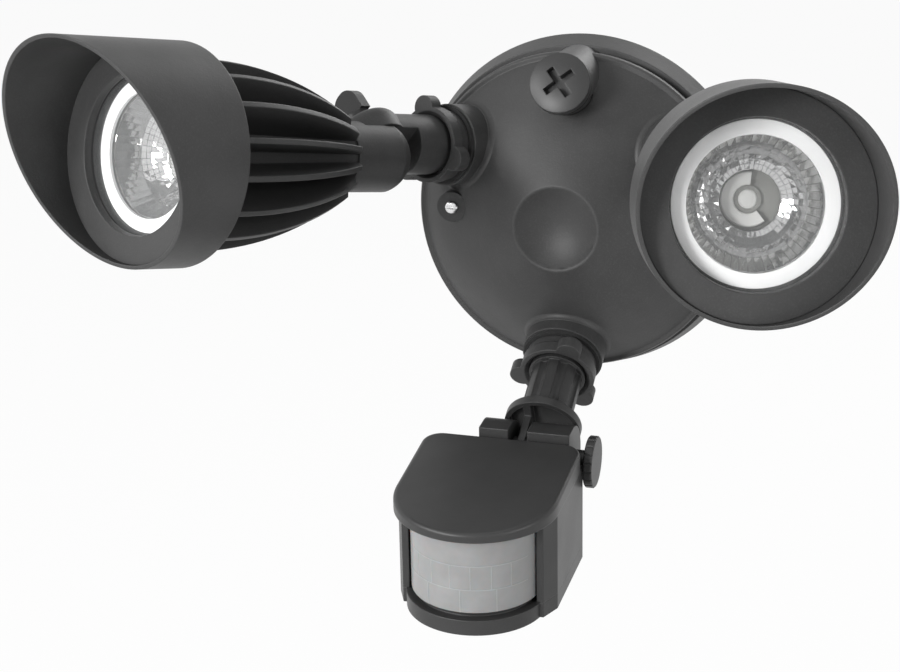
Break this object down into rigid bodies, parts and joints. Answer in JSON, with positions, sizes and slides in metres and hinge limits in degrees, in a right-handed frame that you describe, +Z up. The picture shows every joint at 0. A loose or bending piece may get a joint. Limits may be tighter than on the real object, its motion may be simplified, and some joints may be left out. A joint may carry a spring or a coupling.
{
  "type": "outdoor security light",
  "caption": "Wall-mounted security light: round canopy with hooded, finned spot lamps on swivel arms and a motion sensor below.",
  "frame": {"origin": "centre of the canopy's wall face", "axes": "+Z up, the light faces -Y, +X to the right as seen from the front; the wall face is the plane y = 0"},
  "size_m": [0.287, 0.1947, 0.2044],
  "materials": {
    "coated_casting": "charcoal powder coat, fine texture",
    "dark_plastic": "satin, fine grain",
    "knob_plastic": "satin",
    "seal_rubber": "matt",
    "bright_steel": "bright plated",
    "lamp_glass": "clear",
    "white_ring": "bright white, glossy",
    "reflector_mirror": "faceted metallised",
    "white_plastic": "satin",
    "led_board": "pale board with a domed phosphor face",
    "sensor_lens_plastic": "milky, finely ribbed",
    "circuit_board": "green solder mask"
  },
  "bodies": {
    "canopy": {"wall_plate": "coated_casting", "wall_gasket": "seal_rubber", "cover_gasket": "seal_rubber", "canopy_cover": "coated_casting", "cover_screws": "bright_steel", "closure_plug": "dark_plastic", "plug_gasket": "seal_rubber", "led_driver": "dark_plastic", "driver_screws": "bright_steel", "ground_screw": "bright_steel", "left_hub_gasket": "seal_rubber", "right_hub_gasket": "seal_rubber", "sensor_hub_gasket": "seal_rubber"},
    "left_arm": {"left_arm": "coated_casting"},
    "left_nut": {"left_lock_nut": "coated_casting"},
    "left_screw": {"left_thumb_screw": "knob_plastic"},
    "left_lamp": {"left_heat_sink": "coated_casting", "left_hood": "coated_casting", "left_lens_bezel": "coated_casting", "left_lens_gasket": "seal_rubber", "left_lens_glass": "lamp_glass", "left_lens_ring": "white_ring", "left_reflector": "reflector_mirror", "left_led_holder": "white_plastic", "left_led_module": "led_board"},
    "right_arm": {"right_arm": "coated_casting"},
    "right_nut": {"right_lock_nut": "coated_casting"},
    "right_screw": {"right_thumb_screw": "knob_plastic"},
    "right_lamp": {"right_heat_sink": "coated_casting", "right_hood": "coated_casting", "right_lens_bezel": "coated_casting", "right_lens_gasket": "seal_rubber", "right_lens_glass": "lamp_glass", "right_lens_ring": "white_ring", "right_reflector": "reflector_mirror", "right_led_holder": "white_plastic", "right_led_module": "led_board"},
    "sensor_arm": {"sensor_arm": "dark_plastic"},
    "sensor_nut": {"sensor_lock_nut": "coated_casting"},
    "sensor_screw": {"sensor_thumb_screw": "knob_plastic"},
    "sensor": {"sensor_housing": "dark_plastic", "sensor_roof": "dark_plastic", "sensor_lens": "sensor_lens_plastic", "sensor_tray": "dark_plastic", "sensor_board": "circuit_board", "pir_element": "bright_steel", "sensor_relay": "dark_plastic", "sensor_screws": "bright_steel"},
    "time_dial": {"time_dial": "knob_plastic"},
    "light_dial": {"light_dial": "knob_plastic"},
    "range_dial": {"range_dial": "knob_plastic"}
  },
  "joints": [
    {"name": "left_swivel", "type": "hinge", "parent": "canopy", "child": "left_arm", "pos_m": [-0.04379, -0.03346, 0.02565], "axis": [-0.4799, -0.8616, 0.1652], "range_deg": [-150, 150]},
    {"name": "left_nut_turn", "type": "hinge", "parent": "left_arm", "child": "left_nut", "pos_m": [-0.04379, -0.03346, 0.02565], "axis": [-0.4799, -0.8616, 0.1652], "range_deg": [0, 180]},
    {"name": "left_tilt", "type": "hinge", "parent": "left_arm", "child": "left_lamp", "pos_m": [-0.06135, -0.065, 0.0317], "axis": [-0.623, 0.4673, 0.6273], "range_deg": [-60, 60]},
    {"name": "left_screw_turn", "type": "hinge", "parent": "left_arm", "child": "left_screw", "pos_m": [-0.06135, -0.065, 0.0317], "axis": [-0.623, 0.4673, 0.6273], "range_deg": [0, 180]},
    {"name": "right_swivel", "type": "hinge", "parent": "canopy", "child": "right_arm", "pos_m": [0.04379, -0.03346, 0.02565], "axis": [0.4799, -0.8616, 0.1652], "range_deg": [-150, 150]},
    {"name": "right_nut_turn", "type": "hinge", "parent": "right_arm", "child": "right_nut", "pos_m": [0.04379, -0.03346, 0.02565], "axis": [0.4799, -0.8616, 0.1652], "range_deg": [0, 180]},
    {"name": "right_tilt", "type": "hinge", "parent": "right_arm", "child": "right_lamp", "pos_m": [0.06135, -0.065, 0.0317], "axis": [-0.0804, 0.1444, 0.9863], "range_deg": [-46.9, 73.1]},
    {"name": "right_screw_turn", "type": "hinge", "parent": "right_arm", "child": "right_screw", "pos_m": [0.06135, -0.065, 0.0317], "axis": [-0.0804, 0.1444, 0.9863], "range_deg": [0, 180]},
    {"name": "sensor_swivel", "type": "hinge", "parent": "canopy", "child": "sensor_arm", "pos_m": [0, -0.03346, -0.05075], "axis": [0, -0.8616, -0.5075], "range_deg": [-90, 90]},
    {"name": "sensor_nut_turn", "type": "hinge", "parent": "sensor_arm", "child": "sensor_nut", "pos_m": [0, -0.03346, -0.05075], "axis": [0, -0.8616, -0.5075], "range_deg": [0, 180]},
    {"name": "sensor_tilt", "type": "hinge", "parent": "sensor_arm", "child": "sensor", "pos_m": [0, -0.0749, -0.07516], "axis": [0.9998, 0.0089, -0.015], "range_deg": [-20.6, 69.4]},
    {"name": "sensor_screw_turn", "type": "hinge", "parent": "sensor", "child": "sensor_screw", "pos_m": [0, -0.0749, -0.07516], "axis": [0.9998, 0.0089, -0.015], "range_deg": [0, 180]},
    {"name": "time_dial_turn", "type": "hinge", "parent": "sensor", "child": "time_dial", "pos_m": [-0.02175, -0.09829, -0.11191], "axis": [-0.0159, 0.1062, -0.9942], "range_deg": [-135, 135]},
    {"name": "light_dial_turn", "type": "hinge", "parent": "sensor", "child": "light_dial", "pos_m": [-0.00925, -0.09818, -0.1121], "axis": [-0.0159, 0.1062, -0.9942], "range_deg": [-135, 135]},
    {"name": "range_dial_turn", "type": "hinge", "parent": "sensor", "child": "range_dial", "pos_m": [0.00325, -0.09807, -0.11229], "axis": [-0.0159, 0.1062, -0.9942], "range_deg": [-135, 135]}
  ]
}
